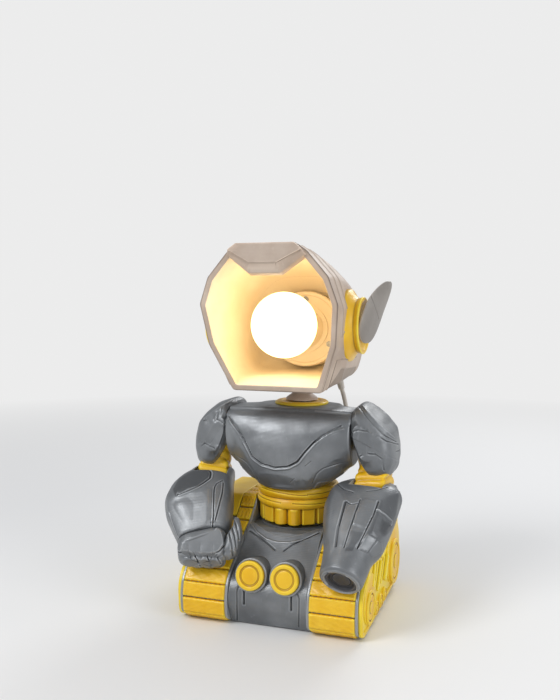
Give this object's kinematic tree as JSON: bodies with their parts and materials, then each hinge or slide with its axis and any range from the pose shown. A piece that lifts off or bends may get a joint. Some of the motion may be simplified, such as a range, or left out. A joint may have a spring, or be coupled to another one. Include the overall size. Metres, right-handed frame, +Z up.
{
  "type": "robot shaped desk lamp",
  "caption": "Tabletop lamp shaped as a robot bust: a hollow helmet holds a globe bulb in its face, on a torso with jointed arms and a base with crawler tracks.",
  "frame": {"origin": "on the ground under the middle of the hull, at the centre of the base plate bottom face, on the neck-to-waist mid plane", "axes": "+Z up; the robot looks along -Y; its left hand is on the +X side"},
  "size_m": [0.2162, 0.2627, 0.3362],
  "materials": {
    "grey_print": "mid grey printed plastic, brushed lighter on the raised edges, fine layer lines",
    "yellow_print": "golden yellow printed plastic, slightly worn",
    "pale_print": "warm pale grey printed plastic with fine layer lines",
    "inner_white": "plain white plastic",
    "bulb_glass": "opal glass globe, lit warm white",
    "bulb_white": "white plastic neck of the bulb",
    "bulb_metal": "screw cap of the bulb",
    "contact_brass": "sheet brass contacts",
    "screw_steel": "zinc plated steel",
    "dark_print": "dark grey printed plastic",
    "cord_white": "smooth soft white sleeve and mouldings",
    "pin_metal": "plated brass pins"
  },
  "bodies": {
    "base": {"hull": "grey_print", "front_plate": "grey_print", "base_plate": "dark_print", "base_screws": "screw_steel", "track_left": "grey_print", "track_right": "grey_print", "track_pads_left": "yellow_print", "track_pads_right": "yellow_print", "fender_left": "yellow_print", "fender_right": "yellow_print", "side_skirt_left": "yellow_print", "side_skirt_right": "yellow_print", "skirt_wheels_left": "yellow_print", "skirt_wheels_right": "yellow_print", "headlight_housings": "grey_print", "headlight_caps": "yellow_print", "waist": "yellow_print", "torso_front": "grey_print", "torso_back": "grey_print", "torso_screws": "screw_steel", "neck_collar": "yellow_print", "cord_drop": "cord_white", "cord_rear": "cord_white", "switch_housing": "cord_white", "cord_coil": "cord_white", "cord_tie": "dark_print", "cord_tail": "cord_white", "plug_body": "cord_white", "plug_pins": "pin_metal"},
    "head": {"neck_spool": "grey_print", "neck_clamp": "screw_steel", "head_shell": "pale_print", "head_back": "pale_print", "head_screws": "screw_steel", "brow_visor": "pale_print", "ear_hub_left": "yellow_print", "ear_hub_right": "yellow_print", "ear_fin_left": "grey_print", "ear_fin_right": "grey_print", "reflector": "inner_white", "reflector_screws": "screw_steel", "lamp_holder": "inner_white", "holder_contacts": "contact_brass", "bulb_globe": "bulb_glass", "bulb_neck": "bulb_white", "bulb_cap": "bulb_metal", "cord_relief": "cord_white"},
    "upper_arm_left": {"arm_core_left": "yellow_print", "shoulder_armor_left": "grey_print", "shoulder_bolt_left": "screw_steel"},
    "upper_arm_right": {"arm_core_right": "yellow_print", "shoulder_armor_right": "grey_print", "shoulder_bolt_right": "screw_steel"},
    "forearm_left_body": {"forearm_left": "grey_print", "muzzle_left": "dark_print", "elbow_pin_left": "screw_steel"},
    "forearm_right_body": {"forearm_right": "grey_print", "fist_right": "grey_print", "elbow_pin_right": "screw_steel"},
    "rocker": {"switch_rocker": "dark_print"}
  },
  "joints": [
    {"name": "neck_swivel", "type": "hinge", "parent": "base", "child": "head", "pos_m": [0, 0.011, 0.187], "axis": [0, 0, 1], "range_deg": [-45, 45], "deforming": ["cord_drop"]},
    {"name": "shoulder_left", "type": "hinge", "parent": "base", "child": "upper_arm_left", "pos_m": [0.078, -0.008, 0.163], "axis": [-1, 0, 0], "range_deg": [0, 60]},
    {"name": "shoulder_right", "type": "hinge", "parent": "base", "child": "upper_arm_right", "pos_m": [-0.078, -0.008, 0.163], "axis": [-1, 0, 0], "range_deg": [0, 60]},
    {"name": "elbow_left", "type": "hinge", "parent": "upper_arm_left", "child": "forearm_left_body", "pos_m": [0.079, -0.02, 0.118], "axis": [-0.9932, 0.1167, 0], "range_deg": [0, 30]},
    {"name": "elbow_right", "type": "hinge", "parent": "upper_arm_right", "child": "forearm_right_body", "pos_m": [-0.079, -0.02, 0.118], "axis": [-0.9724, -0.2334, 0], "range_deg": [0, 30]},
    {"name": "switch_rocker_tilt", "type": "hinge", "parent": "base", "child": "rocker", "pos_m": [0.003, 0.137, 0.012], "axis": [0, -1, 0], "range_deg": [0, 14]}
  ]
}
